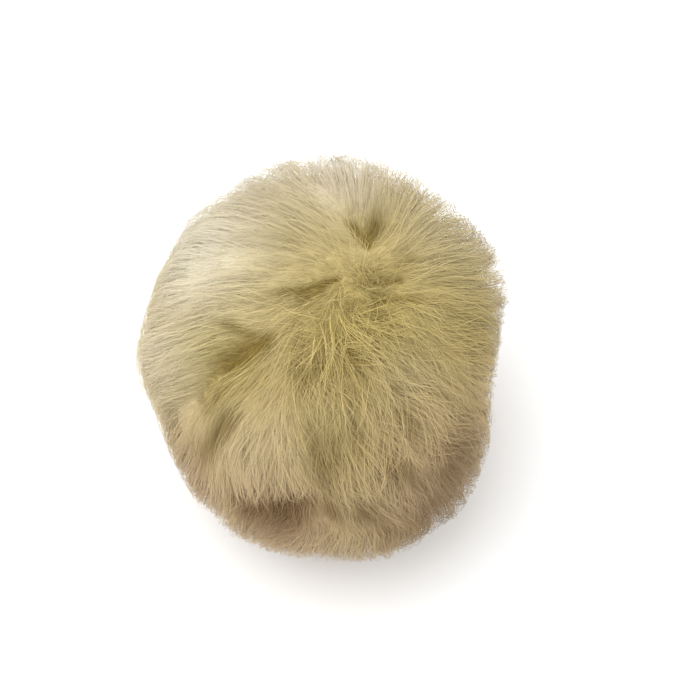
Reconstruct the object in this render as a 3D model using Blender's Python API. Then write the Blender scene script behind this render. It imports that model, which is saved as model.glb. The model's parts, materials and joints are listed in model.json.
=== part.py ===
"""A fur pom pom, resting on its own flattened underside.

Units are metres and +Z is up. The origin is the middle of the flat spot that the ball rests on, and the
viewer stands on the -Y side. The ball is one closed solid: a body of packed pile, swollen and hollowed
where the coat is, with locks of hair combed over it from the crown. Each lock is rooted in the body,
clear of its neighbours and free at its tip.
"""

import math
from collections import namedtuple

import bmesh
import bpy
import numpy as np

MM = 0.001

# The ball, measured over the fur
FUR_WIDTH = 105 * MM
FUR_DEPTH = 115 * MM
FUR_HEIGHT = 95 * MM
CENTRE_HEIGHT = 46 * MM
UNPRESSED_DROP = 51 * MM  # how far the ball would reach below its centre, were the floor not there

# The coat
PILE_OVER_BODY = 6.5 * MM  # the packed body lies this far under the tips of the locks
BODY_SUBDIVISIONS = 4
CROWN_AZIMUTH, CROWN_ELEVATION = -27, 72  # degrees: the whorl that the hair is combed away from

# The locks
LOCKS = 300  # places on the whole ball; those that the floor covers are left out
LOCK_RADIUS = 3.3 * MM
LOCK_REACH = 23 * MM  # how far a lock runs over the body
LOCK_ROOT_DEPTH = 2.6 * MM
LOCK_LIFT_CURVE = 1.6  # a lock rises steeply from its root and levels off towards its tip
LOCK_SIDES = 3
LOCK_STATIONS = (0, 0.3, 0.65, 1)  # shares of a lock's length, from root to tip
FINE_STATIONS = 17  # where the room between neighbours is measured
LOCK_GAP = 0.3 * MM
LEAST_THICKNESS = 0.5  # as a share of LOCK_RADIUS: a lock with less room than this is left out
GOLDEN_ANGLE = math.pi * (3 - math.sqrt(5))

# Where the ball meets the floor
LOWEST_ROOT = 4.5 * MM
SPLAY = 15 * MM  # how far the tips round the base are pushed outwards by the floor
SPLAY_CURVE = 1.5  # above 1, most of that push comes near the tip
SPLAY_START, SPLAY_FULL = -0.25, -0.75  # heights on the unit ball between which that push grows
BASE_SLOPE = -0.8  # below this height on the unit ball the pile is pressed into the body
BASE_REACH_SHARE = 0.5  # the locks round the base are shorter

# Swellings and hollows of the coat. Azimuth runs from +X towards +Y, and both angles are in degrees.
Lump = namedtuple("Lump", "azimuth elevation spread rise")
LUMPS = (
    Lump(azimuth=-27, elevation=72, spread=12, rise=-2.0 * MM),  # the crown's dimple
    Lump(azimuth=-134, elevation=48, spread=11, rise=-3.2 * MM),  # the parting
    Lump(azimuth=-146, elevation=28, spread=10, rise=-2.6 * MM),  # its lower end
    Lump(azimuth=-110, elevation=31, spread=17, rise=2.4 * MM),  # the long tuft in front
    Lump(azimuth=-99, elevation=8, spread=12, rise=-3.0 * MM),  # the hollow that it hangs over
    Lump(azimuth=-45, elevation=7, spread=11, rise=-2.2 * MM),
    Lump(azimuth=-15, elevation=42, spread=18, rise=1.2 * MM),
    Lump(azimuth=156, elevation=45, spread=22, rise=1.2 * MM),
    Lump(azimuth=-172, elevation=14, spread=14, rise=2.0 * MM),
    Lump(azimuth=31, elevation=17, spread=24, rise=3.2 * MM),  # the full shoulder at the back right
    Lump(azimuth=-56, elevation=-25, spread=20, rise=2.6 * MM),  # the fall of hair at the front right
    Lump(azimuth=-72, elevation=-20, spread=12, rise=1.6 * MM),
    Lump(azimuth=-153, elevation=-8, spread=22, rise=-3.2 * MM),  # the flat side at the front left
    Lump(azimuth=-11, elevation=0, spread=15, rise=-3.2 * MM),  # the flat side at the right
    Lump(azimuth=84, elevation=24, spread=30, rise=2.6 * MM),  # the high back
)

# How far the comb turns off the straight way down from the crown, by the side of the crown it runs on.
# Both are in degrees, anticlockwise from above, and the jump at -147 is the parting.
Turn = namedtuple("Turn", "side angle")
COMB_TURNS = (
    Turn(side=-180, angle=0),
    Turn(side=-168, angle=-22),
    Turn(side=-153, angle=-34),
    Turn(side=-141, angle=32),
    Turn(side=-115, angle=36),
    Turn(side=-90, angle=30),
    Turn(side=-55, angle=18),
    Turn(side=-25, angle=10),
    Turn(side=20, angle=0),
    Turn(side=90, angle=0),
    Turn(side=140, angle=8),
    Turn(side=165, angle=14),
    Turn(side=180, angle=0),
)

WELD_DISTANCE = 0.01 * MM

FUR_COLOUR = (0.50, 0.42, 0.25, 1)
FUR_ROUGHNESS = 0.85


def heading(azimuth, elevation):
    """The unit vector that points this way, both angles in degrees."""
    turn, rise = math.radians(azimuth), math.radians(elevation)
    return np.array([math.cos(rise) * math.cos(turn), math.cos(rise) * math.sin(turn), math.sin(rise)])


def unit(vectors):
    """The same vectors at length 1, along the last axis."""
    return vectors / np.maximum(np.linalg.norm(vectors, axis=-1, keepdims=True), 1e-12)


CENTRE = np.array([0, 0, CENTRE_HEIGHT])
CROWN = heading(CROWN_AZIMUTH, CROWN_ELEVATION)
CROWN_EAST = unit(np.array([1, 0, 0]) - CROWN * CROWN[0])
CROWN_NORTH = np.cross(CROWN, CROWN_EAST)


def ramp(start, end, values):
    """0 at start, 1 at end, and a smooth change between them."""
    share = np.clip((values - start) / (end - start), 0, 1)
    return share * share * (3 - 2 * share)


def taper(station):
    """How thick a lock is at this station, as a share of its thickness at the root."""
    return 1 - station**2


def fur_radius(ways):
    """How far the tips of the fur lie from the centre, in these directions."""
    x, y, z = np.moveaxis(ways, -1, 0)
    upright = np.where(z > 0, FUR_HEIGHT - CENTRE_HEIGHT, UNPRESSED_DROP)
    radius = 1 / np.sqrt((2 * x / FUR_WIDTH) ** 2 + (2 * y / FUR_DEPTH) ** 2 + (z / upright) ** 2)
    for lump in LUMPS:
        away = np.degrees(np.arccos(np.clip(ways @ heading(lump.azimuth, lump.elevation), -1, 1)))
        radius = radius + lump.rise * np.exp(-((away / lump.spread) ** 2))
    return radius


def body_radius(ways):
    """How far the packed body reaches. Under the ball the pile is pressed flat, so it fills all of it."""
    return fur_radius(ways) - PILE_OVER_BODY * ramp(-1, BASE_SLOPE, ways[..., 2])


def comb(ways):
    """The way that hair is combed at these places on the unit ball, as unit vectors along its surface."""
    down = unit(ways * (ways @ CROWN)[..., None] - CROWN)
    aside = unit(np.cross(CROWN, ways))
    side = np.degrees(np.arctan2(down @ CROWN_NORTH, down @ CROWN_EAST))
    turn = np.radians(np.interp(side, [t.side for t in COMB_TURNS], [t.angle for t in COMB_TURNS]))
    return down * np.cos(turn)[..., None] + aside * np.sin(turn)[..., None]


def lock_roots():
    """Even places over the ball, along a spiral that winds down from the crown."""
    number = np.arange(LOCKS)
    level = 1 - 2 * (number + 0.5) / LOCKS
    turn = number * GOLDEN_ANGLE
    ring = np.sqrt(1 - level**2)
    ways = np.stack([ring * np.cos(turn), ring * np.sin(turn), level], axis=1)
    ways = ways @ np.array([CROWN_EAST, CROWN_NORTH, CROWN])
    heights = CENTRE_HEIGHT + ways[:, 2] * body_radius(ways)
    return ways[heights > LOWEST_ROOT]


def lock_paths(roots):
    """The middle line of each lock, as an array of lock, station and coordinate."""
    near_floor = ramp(SPLAY_START, SPLAY_FULL, roots[:, 2])[:, None]
    reach = LOCK_REACH * (1 - (1 - BASE_REACH_SHARE) * near_floor)
    outwards = unit(roots * np.array([1, 1, 0]))
    mean_radius = (FUR_WIDTH + FUR_DEPTH) / 4
    ways, last, places = roots, 0, []
    for station in LOCK_STATIONS:
        ways = unit(ways + comb(ways) * (station - last) * reach / mean_radius)
        lifted = 1 - (1 - station) ** LOCK_LIFT_CURVE
        rise = (PILE_OVER_BODY + LOCK_ROOT_DEPTH) * lifted - LOCK_ROOT_DEPTH
        place = CENTRE + ways * (body_radius(ways) + rise)[:, None]
        place += outwards * near_floor * SPLAY * station**SPLAY_CURVE
        place[:, 2] = np.maximum(place[:, 2], LOCK_RADIUS * taper(station))
        places.append(place)
        last = station
    return np.stack(places, axis=1)


def lock_room(paths):
    """How thick each lock can be without reaching a neighbour, as a share of LOCK_RADIUS."""
    fine = np.linspace(0, 1, FINE_STATIONS)
    lines = np.array([[np.interp(fine, LOCK_STATIONS, row) for row in path.T] for path in paths])
    lines = lines.transpose(0, 2, 1)
    thickness = LOCK_RADIUS * (taper(fine)[:, None] + taper(fine)) + LOCK_GAP
    room = []
    for number, line in enumerate(lines):
        apart = np.linalg.norm(lines[:, :, None] - line, axis=-1)
        apart[number] = math.inf
        room.append(min((apart / thickness).min(), 1))
    return np.array(room)


def fur_material():
    """Pale olive fur."""
    material = bpy.data.materials.new("fur")
    material.use_nodes = True
    shader = material.node_tree.nodes["Principled BSDF"]
    shader.inputs["Base Color"].default_value = FUR_COLOUR
    shader.inputs["Roughness"].default_value = FUR_ROUGHNESS
    shader.inputs["Metallic"].default_value = 0
    material.diffuse_color = FUR_COLOUR
    return material


def new_collection(name):
    """An empty collection in the scene."""
    collection = bpy.data.collections.new(name)
    bpy.context.scene.collection.children.link(collection)
    return collection


def move_to(obj, collection):
    """Takes an object out of the collections that it is in and puts it in this one."""
    for other in list(obj.users_collection):
        other.objects.unlink(obj)
    collection.objects.link(obj)


def weld_points(mesh):
    """Joins the points that lie on one another, as those of a curve's caps do."""
    welder = bmesh.new()
    welder.from_mesh(mesh)
    bmesh.ops.remove_doubles(welder, verts=welder.verts, dist=WELD_DISTANCE)
    welder.to_mesh(mesh)
    welder.free()


def make_body(collection):
    """The packed pile: a round ball pulled out to its own radius in each direction, flat on the floor."""
    bpy.ops.mesh.primitive_ico_sphere_add(subdivisions=BODY_SUBDIVISIONS, radius=1)
    body = bpy.context.object
    body.name = "fur_ball"
    move_to(body, collection)
    ways = unit(np.array([vertex.co for vertex in body.data.vertices]))
    places = CENTRE + ways * body_radius(ways)[:, None]
    places[:, 2] = np.maximum(places[:, 2], 0)
    for vertex, place in zip(body.data.vertices, places):
        vertex.co = place
    body.data.update()
    return body


def make_locks(collection):
    """All the locks as one mesh: tapering three-sided strands swept along their middle lines."""
    paths = lock_paths(lock_roots())
    paths = paths[lock_room(paths) > LEAST_THICKNESS]
    radii = LOCK_RADIUS * lock_room(paths)[:, None] * taper(np.array(LOCK_STATIONS))

    bpy.ops.mesh.primitive_circle_add(vertices=LOCK_SIDES, radius=1)
    bpy.ops.object.convert(target="CURVE")
    section = bpy.context.object

    curve = bpy.data.curves.new("locks", "CURVE")
    curve.dimensions = "3D"
    curve.bevel_mode = "OBJECT"
    curve.bevel_object = section
    curve.use_fill_caps = True
    for path, radius in zip(paths, radii):
        spline = curve.splines.new("POLY")
        spline.points.add(len(path) - 1)
        for point, place, thickness in zip(spline.points, path, radius):
            point.co = (*place, 1)
            point.radius = thickness
    strands = bpy.data.objects.new("locks_curve", curve)
    bpy.context.scene.collection.objects.link(strands)
    bpy.context.view_layer.update()

    graph = bpy.context.evaluated_depsgraph_get()
    mesh = bpy.data.meshes.new_from_object(strands.evaluated_get(graph))
    locks = bpy.data.objects.new("locks", mesh)
    collection.objects.link(locks)
    bpy.data.objects.remove(strands)
    bpy.data.objects.remove(section)
    weld_points(mesh)
    locks.hide_render = True
    locks.display_type = "WIRE"
    return locks


def main():
    """Empties the scene and models the ball."""
    for obj in list(bpy.data.objects):
        bpy.data.objects.remove(obj)
    body = make_body(new_collection("pom_pom"))
    locks = make_locks(new_collection("cutters"))
    body.data.materials.append(fur_material())
    join = body.modifiers.new("rooted_locks", "BOOLEAN")
    join.operation = "UNION"
    join.object = locks


main()
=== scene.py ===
# %% [markdown]
# # A fur pom pom
#
# This lesson dresses a plain solid as a ball of long, soft fur. A fur pom pom is a disc of fur that is
# drawn together round its edge, so the hair stands out all round and falls away from a whorl on top.
# The solid already has the right size and swellings. What it lacks is hair, and hair is all that shows.
#
# The plan: measure the solid, describe how the coat is combed, grow many thousands of thin hairs over
# it with Geometry Nodes, colour them from root to tip, and light them softly.

# %% Load the solid
import json
import math
from collections import namedtuple

import bpy
import numpy as np
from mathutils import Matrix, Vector

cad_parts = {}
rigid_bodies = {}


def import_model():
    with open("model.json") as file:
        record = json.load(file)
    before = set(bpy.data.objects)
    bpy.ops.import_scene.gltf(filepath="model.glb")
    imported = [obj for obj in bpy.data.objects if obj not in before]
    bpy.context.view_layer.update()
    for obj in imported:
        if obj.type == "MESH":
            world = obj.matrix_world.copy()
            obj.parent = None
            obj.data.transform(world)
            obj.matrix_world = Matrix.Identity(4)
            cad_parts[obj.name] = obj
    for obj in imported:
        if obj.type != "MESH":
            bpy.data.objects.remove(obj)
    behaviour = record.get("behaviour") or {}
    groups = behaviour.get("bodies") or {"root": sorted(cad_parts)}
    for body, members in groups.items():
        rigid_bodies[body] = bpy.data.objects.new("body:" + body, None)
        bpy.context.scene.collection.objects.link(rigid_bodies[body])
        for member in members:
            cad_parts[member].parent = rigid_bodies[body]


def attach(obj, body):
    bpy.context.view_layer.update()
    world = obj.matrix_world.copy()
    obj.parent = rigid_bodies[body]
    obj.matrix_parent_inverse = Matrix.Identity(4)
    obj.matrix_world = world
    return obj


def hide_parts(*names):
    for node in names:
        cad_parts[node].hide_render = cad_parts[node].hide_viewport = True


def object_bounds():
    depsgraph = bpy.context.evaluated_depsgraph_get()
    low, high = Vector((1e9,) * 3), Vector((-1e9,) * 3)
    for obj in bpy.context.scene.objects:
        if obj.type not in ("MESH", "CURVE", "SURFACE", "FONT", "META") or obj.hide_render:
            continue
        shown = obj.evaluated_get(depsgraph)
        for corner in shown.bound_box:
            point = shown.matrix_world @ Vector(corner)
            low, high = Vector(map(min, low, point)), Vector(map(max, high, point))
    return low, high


for leftover in list(bpy.data.objects):
    bpy.data.objects.remove(leftover)
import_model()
SOLID_LOW, SOLID_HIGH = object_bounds()
WIDTH, DEPTH, HEIGHT = SOLID_HIGH - SOLID_LOW
MM = 0.001
print(f"solid: {WIDTH / MM:.1f} wide, {DEPTH / MM:.1f} deep, {HEIGHT / MM:.1f} mm high")

# %% [markdown]
# ## The form of the coat
#
# Fur isn't an even ball. It parts, it heaps up where a tuft lies on another, and it is pressed flat
# where the ball rests. All of that can be said with one function that gives the distance from the
# middle of the ball to the tips of the hair, for any direction: a squashed sphere, plus a short list of
# smooth swellings and hollows. A function like this is easy to correct, because each lump has its place
# in plain angles, and the same function later serves the skin that the hair grows from.

# %% The swellings and hollows
MIDDLE = np.array([0, 0, 0.485 * HEIGHT])
UNPRESSED_DROP = 0.537 * HEIGHT  # how far the ball would reach below its middle without the table

# Azimuth runs from +X (right) towards +Y (back), and elevation up from level, both in degrees. The
# spread is in degrees too.
Lump = namedtuple("Lump", "azimuth elevation spread rise")
LUMPS = (
    Lump(-27, 72, 12, -2.0 * MM),  # the crown's dimple
    Lump(-134, 48, 11, -3.2 * MM),  # the parting
    Lump(-146, 28, 10, -2.6 * MM),  # its lower end
    Lump(-110, 31, 17, 2.4 * MM),  # the long tuft in front
    Lump(-99, 8, 12, -3.0 * MM),  # the hollow that it hangs over
    Lump(-45, 7, 11, -2.2 * MM),
    Lump(-15, 42, 18, 1.2 * MM),
    Lump(156, 45, 22, 1.2 * MM),
    Lump(-172, 14, 14, 2.0 * MM),
    Lump(31, 17, 24, 3.2 * MM),  # the full shoulder at the back right
    Lump(-56, -25, 20, 2.6 * MM),  # the fall of hair at the front right
    Lump(-72, -20, 12, 1.6 * MM),
    Lump(-153, -8, 22, -3.2 * MM),  # the flat side at the front left
    Lump(-11, 0, 15, -3.2 * MM),  # the flat side at the right
    Lump(84, 24, 30, 2.6 * MM),  # the high back
    Lump(60, 30, 45, 1.4 * MM),
    Lump(-40, -18, 13, 1.2 * MM),
)
print(f"form: {len(LUMPS)} swellings and hollows")


# %% Directions and smooth steps
def heading(azimuth, elevation):
    """The unit vector that points this way, both angles in degrees."""
    turn, rise = math.radians(azimuth), math.radians(elevation)
    return np.array([math.cos(rise) * math.cos(turn), math.cos(rise) * math.sin(turn), math.sin(rise)])


def unit(vectors):
    """The same vectors at length 1, along the last axis."""
    return vectors / np.maximum(np.linalg.norm(vectors, axis=-1, keepdims=True), 1e-12)


def ramp(start, end, values):
    """0 at start, 1 at end, and a smooth change between them."""
    share = np.clip((values - start) / (end - start), 0, 1)
    return share * share * (3 - 2 * share)


def bell(angles, spread):
    """1 in the middle, and less with the angle from it."""
    return np.exp(-((angles / spread) ** 2))


def degrees_between(ways, centres):
    """The angle between directions, in degrees."""
    return np.degrees(np.arccos(np.clip(np.sum(ways * centres, axis=-1), -1, 1)))


# %% The distance to the tips
def fur_radius(ways):
    """How far the tips of the fur lie from the middle, in these directions."""
    x, y, z = np.moveaxis(ways, -1, 0)
    upright = np.where(z > 0, HEIGHT - MIDDLE[2], UNPRESSED_DROP)
    radius = 1 / np.sqrt((2 * x / WIDTH) ** 2 + (2 * y / DEPTH) ** 2 + (z / upright) ** 2)
    for lump in LUMPS:
        away = degrees_between(ways, heading(lump.azimuth, lump.elevation))
        radius = radius + lump.rise * bell(away, lump.spread)
    return radius


for name, way in (("up", heading(0, 90)), ("forwards", heading(-90, 0))):
    print(f"fur radius {name}: {fur_radius(way) / MM:.1f} mm")

# %% [markdown]
# ## How it is combed
#
# Hair on a pom pom runs away from a whorl on the crown, like lines of longitude from a pole, but it is
# also swept to one side, and where two sweeps part a dark line opens. Combing by hand would give a fine
# coat once. Here the comb is a function too, so that any point can ask it: the way straight down from
# the crown, turned by an angle that depends on the side of the crown. A short table gives the sweep,
# and each parting turns the hair on its two sides apart, one low at the front left and two behind the
# whorl.

# %% The table of the sweep
CROWN = heading(6, 72)
CROWN_EAST = unit(np.array([1, 0, 0]) - CROWN * CROWN[0])
CROWN_NORTH = np.cross(CROWN, CROWN_EAST)

# How far the hair is turned on each side of the crown, both in degrees, anticlockwise from above.
COMB_TURNS = {
    -180: 0, -147: 0, -130: 12, -115: 24, -90: 26, -70: 30, -50: 32, -25: 24,
    0: 18, 20: 14, 50: 2, 90: 0, 140: 8, 165: 8, 180: 0,
}

# side, width and the turns on its two sides are in degrees round the crown, near and far in degrees
# away from it.
Parting = namedtuple("Parting", "side before after width near far")
PARTINGS = (
    Parting(side=-148, before=-30, after=18, width=26, near=42, far=100),
    Parting(side=108, before=-26, after=26, width=24, near=4, far=34),
    Parting(side=98, before=-36, after=36, width=40, near=-8, far=12),
)
OPENS_BEFORE, OPEN_AFTER = 12, 6  # degrees round its near end over which a parting opens
CLOSES_OVER = 15  # degrees past its far end over which it closes again


# %% The comb
def comb(ways):
    """The way that hair is combed at these places on the unit ball, as unit vectors along its surface."""
    down = unit(ways * (ways @ CROWN)[..., None] - CROWN)
    aside = unit(np.cross(CROWN, ways))
    side = np.degrees(np.arctan2(down @ CROWN_NORTH, down @ CROWN_EAST))
    away = degrees_between(ways, CROWN)
    turn = np.interp(side, list(COMB_TURNS), list(COMB_TURNS.values()))
    for parting in PARTINGS:
        past = (side - parting.side + 180) % 360 - 180
        opening = ramp(parting.near - OPENS_BEFORE, parting.near + OPEN_AFTER, away)
        reach = opening * ramp(parting.far + CLOSES_OVER, parting.far, away)
        apart = np.where(past < 0, parting.before, parting.after)
        turn = turn + apart * np.exp(-np.abs(past) / parting.width) * reach
    turn = np.radians(turn)
    return down * np.cos(turn)[..., None] + aside * np.sin(turn)[..., None]


print(f"comb: a sweep of {len(COMB_TURNS)} angles and {len(PARTINGS)} partings")

# %% [markdown]
# ## Streaks, ruffles, dye and loft
#
# Much else changes over the coat. In narrow streaks the hair dips, and painted shade darkens it there:
# in the parting, beside the whorl and under the front tuft. Round the whorl and in front of it the hair is
# ruffled, with short ends that point every way, while the back and the sides lie smooth. The sandy fur is
# olive on top and pinkish in front below. Cream at the back and the left is partly paler fur and partly
# a painted highlight where the key lamp falls, and painted shade lies low in front and at the right, away
# from the light. And in a few places the hair stands higher or lower.
#
# Each of these could be painted on the skin by hand. As tables of places they stay easy to correct,
# because one row can be changed without touching the rest, and two functions turn any table into a
# mask, which is a number for each direction.

# %% Streaks
# start and end are azimuth and elevation, width is in degrees.
Streak = namedtuple("Streak", "start end width depth")
# Each streak dips the hair and darkens it with painted shade, both by its depth.
STREAKS = (
    Streak((49, 65), (66, 62), 3.4, 0.8),  # the notch behind the whorl
    Streak((49, 64), (54, 55), 4.0, 0.75),
    Streak((46, 66), (50, 64), 2.8, 0.9),
    Streak((20, 59), (23, 54), 4.0, 0.5),
    Streak((14, 74), (20, 66), 2.4, 0.5),
    Streak((4, 70), (8, 60), 2.2, 0.7),  # the pits at the right of the whorl
    Streak((-14, 69), (-6, 55), 2.1, 0.66),
    Streak((-26, 69), (-30, 64), 2.1, 0.7),
    Streak((12, 84), (-144, 84), 1.9, 0.82),  # the streaks at its left
    Streak((-144, 84), (-165, 74), 1.7, 0.8),
    Streak((-74, 86), (-145, 79), 1.8, 0.75),
    Streak((-145, 79), (-160, 68), 2.0, 0.45),
    Streak((-72, 84), (-130, 78), 2.0, 0.55),
    Streak((146, 53), (116, 73), 3.0, 0.4),
    Streak((117, 75), (128, 68), 2.6, 0.5),
    Streak((-172, 45), (-162, 52), 2.2, 0.35),  # the side sweep's lower edge
    Streak((-162, 52), (-145, 58), 2.4, 0.7),
    Streak((-133, 60), (-139, 53), 5.0, 0.8),  # the parting
    Streak((-139, 53), (-142, 44), 7.0, 0.75),
    Streak((-142, 44), (-137, 32), 6.0, 0.6),
    Streak((-146, 41), (-143, 26), 4.5, 0.6),
    Streak((-126, 33), (-129, 20), 4.5, 0.65),
    Streak((-129, 20), (-132, 10), 5.0, 0.6),
    Streak((-112, 2), (-99, 7), 8.0, 0.85),  # the hollow under the front tuft
    Streak((-99, 7), (-94, 12), 6.0, 0.7),
    Streak((-88, 12), (-86, 4), 5.0, 0.7),
    Streak((-78, 8), (-74, 2), 5.5, 0.65),
    Streak((-94, 38), (-88, 20), 4.5, 0.5),  # dark lines between the locks in front
    Streak((-85, 36), (-86, 26), 3.5, 0.5),
    Streak((-77, 39), (-77, 30), 3.0, 0.4),
    Streak((-56, 36), (-56, 29), 3.5, 0.5),
    Streak((-65, 20), (-60, 13), 5.5, 0.6),
    Streak((-47, 5), (-43, -4), 6.0, 0.68),
    Streak((-38, 4), (-36, 0), 5.0, 0.6),
    Streak((-71, 0), (-70, -8), 3.0, 0.6),
    Streak((-105, 57), (-98, 52), 4.0, 0.5),  # dark spots in the ruffled middle
    Streak((-89, 60), (-89, 55), 3.5, 0.5),
    Streak((-70, 60), (-67, 54), 3.5, 0.55),
    Streak((-55, 45), (-55, 42), 3.0, 0.4),
)
print(f"{len(STREAKS)} streaks")

# %% Ruffled places, and places where the hair stands higher or lower
# The angles are as for the lumps. The share is that of a mask, or a height.
Patch = namedtuple("Patch", "azimuth elevation spread share")
RUFFLES = (
    Patch(6, 72, 9, 1.0),
    Patch(-50, 70, 16, 0.8),
    Patch(-80, 62, 22, 0.75),
    Patch(-55, 44, 28, 0.5),
    Patch(-75, 20, 35, 0.4),
    Patch(0, -12, 34, 0.35),
    Patch(60, -12, 34, 0.35),
    Patch(120, -12, 34, 0.35),
    Patch(180, -12, 34, 0.3),
)
LOFTS = (
    Patch(60, 30, 45, 2.5 * MM),  # the back, which stands tall
    Patch(106, 28, 14, 1.6 * MM),
    Patch(139, 20, 12, 1.4 * MM),
    Patch(22, 12, 12, 3.0 * MM),
    Patch(0, 2, 12, -1.8 * MM),
    Patch(-16, -9, 12, 1.2 * MM),
    Patch(-42, -20, 16, 2.8 * MM),
    Patch(-102, -28, 18, 1.0 * MM),
    Patch(90, 30, 12, -1.0 * MM),
    Patch(166, 22, 14, -1.0 * MM),
    Patch(-110, 28, 14, 2.5 * MM),  # the front tuft
)
print(f"{len(RUFFLES)} ruffled places, {len(LOFTS)} higher or lower ones")

# %% Places of each colour, of painted highlight and of painted shade
OLIVES = (
    Patch(-45, 68, 38, 1.0),
    Patch(-12, 34, 32, 0.85),
    Patch(-142, 44, 20, 1.0),
    Patch(48, 64, 16, 0.7),
    Patch(-82, 34, 18, 0.7),
)
# Cream: partly paler fur, partly a painted highlight at the back and the left, mostly where the key lamp
# falls.
CREAM_AND_HIGHLIGHT_PATCHES = (
    Patch(154, 40, 28, 1.0),
    Patch(84, 42, 17, 0.95),
    Patch(120, 30, 40, 0.6),
    Patch(40, 32, 24, 0.25),
    Patch(-172, 22, 23, 0.6),
    Patch(-111, 28, 14, 0.22),
    Patch(-49, 45, 10, 0.15),
)
BLUSHES = (
    Patch(-52, -4, 40, 0.9),
    Patch(-105, -2, 32, 0.95),
    Patch(-132, -4, 24, 0.9),
    Patch(85, 44, 18, 0.25),
    Patch(0, -10, 26, 0.7),
)
# Painted shade in broad patches, low in front and at the right, away from the light.
PAINTED_SHADE_PATCHES = (
    Patch(-43, 2, 24, 0.62),  # the front right, away from the light
    Patch(-54, -12, 26, 0.66),
    Patch(-130, -8, 22, 0.36),
    Patch(-4, 24, 20, 0.36),
    Patch(-102, 3, 16, 0.72),
    Patch(-76, 6, 14, 0.42),
    Patch(-90, 6, 14, 0.4),
)
print(f"{len(OLIVES)} olive, {len(CREAM_AND_HIGHLIGHT_PATCHES)} cream, {len(BLUSHES)} pinkish and {len(PAINTED_SHADE_PATCHES)} dusky places")


# %% Masks from the tables
def patch_values(ways, patches):
    """For each patch, its share in each direction: all of it in its middle, and less away from it."""
    return [
        patch.share * bell(degrees_between(ways, heading(patch.azimuth, patch.elevation)), patch.spread)
        for patch in patches
    ]


def patch_mask(ways, patches):
    """The strongest of these patches in each direction."""
    return np.max(patch_values(ways, patches), axis=0)


def streak_mask(ways):
    """The strongest of the streaks in each direction."""
    strongest = np.zeros(len(ways))
    for streak in STREAKS:
        start, end = heading(*streak.start), heading(*streak.end)
        run = end - start
        share = np.clip((ways - start) @ run / max(run @ run, 1e-9), 0, 1)
        nearest = unit(start + share[:, None] * run)
        strongest = np.maximum(strongest, streak.depth * bell(degrees_between(ways, nearest), streak.width))
    return strongest


# %% [markdown]
# ## The skin, with the groomer's notes on it
#
# Hair is grown from a mesh that lies a few millimetres under the tips, a little less where the coat is
# smooth and thin. It could be combed by hand with Blender's hair tools, but notes written on the mesh
# as attributes repeat exactly and can be changed with one number. Each point of this skin says which
# way the hair lies, how long it is, how high it stands off the skin, and how much the table presses it
# outwards, besides the masks. The same mesh, closed and with a streaky material, stays in the model as
# the undercoat, so no gap between hairs shows through.

# %% How deep the pile is
PILE_OVER_SKIN = 6.5 * MM
CALM_RAISE = 1.2 * MM  # how much thinner the pile is where the coat is smooth
STREAK_HOLD = 1.6  # how strongly a streak keeps the pile at its full depth
PRESSED_BELOW = -0.8  # height on the unit ball under which the pile is squashed against the table


def pile_depth(ways):
    """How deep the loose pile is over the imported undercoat."""
    unruffled = 1 - np.clip(patch_mask(ways, RUFFLES), 0, 1)
    smooth = unruffled * (1 - np.clip(STREAK_HOLD * streak_mask(ways), 0, 1))
    return PILE_OVER_SKIN - CALM_RAISE * smooth


def skin_radius(ways):
    """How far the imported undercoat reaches. Under the ball the pile is pressed flat into it."""
    return fur_radius(ways) - pile_depth(ways) * ramp(-1, PRESSED_BELOW, ways[..., 2])


# %% The notes on the skin
LIFT_SHARE = 1.48  # the lift is more than the pile, because few hairs reach their full height
LEAST_LIFT = 1.0 * MM
STREAK_DIP = 6.0 * MM
PRESS_HEIGHTS = (-0.25, -0.75)  # on the unit ball, where the table begins to push and where it does fully
PRESSED_SHORTER = 0.5  # the share of its length that pressed hair lacks
UNDERSIDE_BLUSH = 0.85  # the whole underside is pinkish, more and more between these heights
UNDERSIDE_HEIGHTS = (0.1, -0.5)


def note(mesh, name, values):
    """Writes a number or a vector on each point of a mesh."""
    kind, field = ("FLOAT_VECTOR", "vector") if values.ndim == 2 else ("FLOAT", "value")
    layer = mesh.attributes.new(name, kind, "POINT")
    layer.data.foreach_set(field, values.astype(np.float32).ravel())


def write_notes(mesh, ways):
    """Writes on the skin all that the fur tree and the materials ask of it."""
    press = ramp(*PRESS_HEIGHTS, ways[:, 2])
    streaks = streak_mask(ways)
    lift = LIFT_SHARE * pile_depth(ways) + sum(patch_values(ways, LOFTS)) - STREAK_DIP * streaks
    below = UNDERSIDE_BLUSH * ramp(*UNDERSIDE_HEIGHTS, ways[:, 2])
    note(mesh, "comb", comb(ways))
    note(mesh, "press", press)
    note(mesh, "pile", 1 - PRESSED_SHORTER * press)
    note(mesh, "lift", np.maximum(lift, LEAST_LIFT))
    note(mesh, "ruffle", patch_mask(ways, RUFFLES))
    # Painted shade: the streaks and the shaded patches.
    note(mesh, "shade", np.maximum(streaks, patch_mask(ways, PAINTED_SHADE_PATCHES)))
    note(mesh, "olive", patch_mask(ways, OLIVES))
    # Cream: partly paler fur, partly a painted highlight where the key lamp falls.
    note(mesh, "cream_and_highlight", patch_mask(ways, CREAM_AND_HIGHLIGHT_PATCHES))
    note(mesh, "blush", np.maximum(patch_mask(ways, BLUSHES), below))


# %% Make the skin
SKIN_SUBDIVISIONS = 6


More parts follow.
